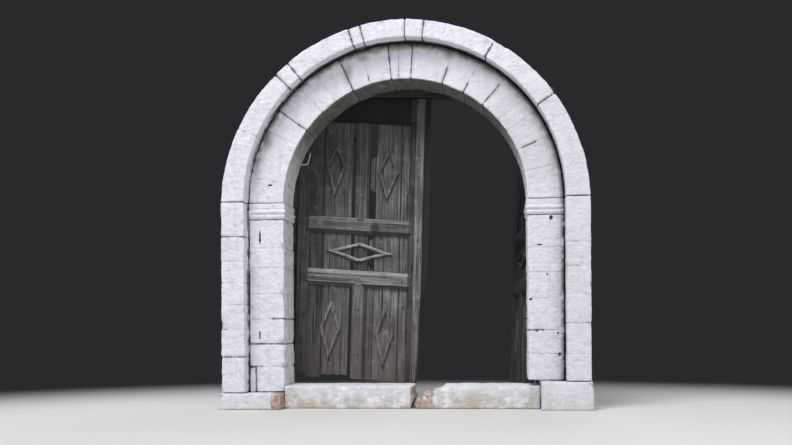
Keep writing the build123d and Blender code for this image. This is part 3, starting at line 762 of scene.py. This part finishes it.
def iron_finish(name, limed, shade=1.0):
    """Iron under a scaly brown rust, with limewash splashed over a share of it."""
    iron = Finish(name)

    def rusty(red, green, blue):
        """A rust colour, as dark as this iron's."""
        return colour(red * shade, green * shade, blue * shade)

    scale = iron.noise(60, 5, 0.6)
    crust = iron.noise(260, 4, 0.6)
    rust = iron.mix(scale.between(0.35, 0.65), rusty(62, 48, 41), rusty(92, 70, 56))
    rust = iron.mix(crust.between(0.5, 0.7) * 0.6, rust, rusty(40, 34, 31))
    splashed = (scale * 0.4 + crust * 0.6).between(0.62 - limed * 0.3, 0.68 - limed * 0.3)
    rust = iron.mix(splashed * limed, rust, colour(184, 183, 182))
    iron.feed(iron.shader.inputs["Metallic"], 0.25)
    return iron.surface(rust, 0.72 + crust * 0.2, scale * 0.5 + crust * 0.5, depth=0.0012)


rusted_iron = iron_finish("rusted_iron", limed=0)
limed_iron = iron_finish("limed_iron", limed=0.85)
for node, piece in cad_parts.items():
    if node.split("_", 1)[1] in iron_pieces:
        piece.data.materials.clear()
        piece.data.materials.append(limed_iron if node == "left_hook" else rusted_iron)


# Nails.
# Hand-forged nails hold the planted frame and the lozenges to the planks. Each head is a low dome
# of dark iron, hammered a little askew and driven in from the front.
nail_iron = iron_finish("nail_iron", limed=0, shade=0.62)

# Where the nails are: run from the hinge side of the leaf, and height above the sill
left_nails = [(0.044, 0.3), (0.044, 0.82), (0.044, 1.21), (0.044, 1.7), (0.044, 2.08), (0.13, 0.81),
              (0.13, 1.22), (0.49, 0.79), (0.49, 1.2), (0.83, 0.77), (0.83, 1.19), (0.13, 2.1),
              (0.49, 2.09), (0.83, 2.08), (0.492, 0.2), (0.492, 0.55), (0.5, 1.42), (0.5, 1.86),
              (0.89, 0.3), (0.89, 0.6), (0.89, 1.0), (0.89, 1.5), (0.89, 1.9), (0.945, 0.42),
              (0.945, 1.1), (0.945, 1.75)]
lozenge_nails = [(0.243, 1.004), (0.283, 0.99), (0.735, 0.973), (0.488, 1.06), (0.488, 0.93),
                 (0.28, 0.62), (0.27, 0.15), (0.703, 0.61), (0.69, 0.12), (0.297, 1.82),
                 (0.277, 1.43), (0.7, 1.82), (0.69, 1.42)]
right_nails = [(run, height) for run in (0.05, 0.4, 0.75) for height in (0.72, 1.14, 2.02)]
right_nails += [(0.05, 0.3), (0.05, 1.6), (0.75, 0.35), (0.75, 1.6), (0.4, 0.3), (0.4, 1.6)]

# Directions of the heeled frame, the middle of the sill's top, and the right leaf's hinge and turn
upright = Vector((math.sin(lean), 0, math.cos(lean)))
level = Vector((math.cos(lean), 0, -math.sin(lean)))
inward = Vector((0, 1, 0))
sill_top = Vector((0, 0, sill_height))
hinge_aside = 0.968
hinge_depth = 0.4683
right_hinge = sill_top + level * hinge_aside + inward * hinge_depth
opened_leaf = Matrix.Rotation(-open_turn, 3, upright)

# Each nail is driven from a start in front of its leaf. Its head is turned any way, and is made a
# little narrower or wider.
start_depth = 0.3
narrowest = 0.8
widest = 1.2
any_turn = 3.1
bpy.ops.object.select_all(action="DESELECT")
bpy.ops.mesh.primitive_uv_sphere_add(segments=10, ring_count=6, radius=0.0062, location=(0, 0, 0))
forged_head = bpy.context.object
bpy.ops.object.mode_set(mode="EDIT")
bpy.ops.mesh.select_all(action="SELECT")
bpy.ops.transform.resize(value=(1, 0.6, 1), center_override=(0, 0, 0))
bpy.ops.transform.vertex_random(offset=0.0007, seed=5)
bpy.ops.object.mode_set(mode="OBJECT")


def boards_of(side):
    """The surface of one leaf's boards, for finding where a nail enters them."""
    kinds = ("plank", "stile", "rail", "muntin", "lozenge", "astragal")
    corners = []
    faces = []
    for node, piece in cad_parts.items():
        if node.startswith(side) and any(kind in node for kind in kinds):
            own_corners, own_faces = triangles_of(piece)
            faces += [tuple(i + len(corners) for i in face) for face in own_faces]
            corners += own_corners
    return BVHTree.FromPolygons(corners, faces)


def nail_heads(name, side, body, starts, towards):
    """Copies the forged head to where lines from the starts first meet a leaf's boards, as one piece."""
    boards = boards_of(side)
    made = []
    for start in starts:
        seat = boards.ray_cast(start, towards)[0]
        if seat is None:
            continue
        bpy.ops.object.select_all(action="DESELECT")
        forged_head.select_set(True)
        bpy.context.view_layer.objects.active = forged_head
        bpy.ops.object.duplicate(linked=False)
        head = bpy.context.object
        head.scale = (random.uniform(narrowest, widest), 1, random.uniform(narrowest, widest))
        head.rotation_euler = (0, random.uniform(-any_turn, any_turn), 0)
        head.location = seat
        bpy.ops.object.transform_apply(location=True, rotation=True, scale=True)
        made.append(head)
    bpy.ops.object.select_all(action="DESELECT")
    for head in made:
        head.select_set(True)
    bpy.context.view_layer.objects.active = made[0]
    bpy.ops.object.join()
    joined = bpy.context.object
    joined.name = name
    bpy.ops.object.shade_smooth()
    joined.data.materials.clear()
    joined.data.materials.append(nail_iron)
    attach(joined, body)


left_starts = [sill_top + level * (run - leaf_start) + upright * height + inward * start_depth
               for run, height in left_nails + lozenge_nails]
right_starts = [sill_top + level * (leaf_start - run) + upright * height + inward * start_depth
                for run, height in right_nails]
right_starts = [right_hinge + opened_leaf @ (start - right_hinge) for start in right_starts]
nail_heads("left_leaf_nails", "left_", "left_leaf", left_starts, inward)
nail_heads("right_leaf_nails", "right_", "right_leaf", right_starts, opened_leaf @ inward)
bpy.ops.object.select_all(action="DESELECT")
forged_head.select_set(True)
bpy.ops.object.delete()
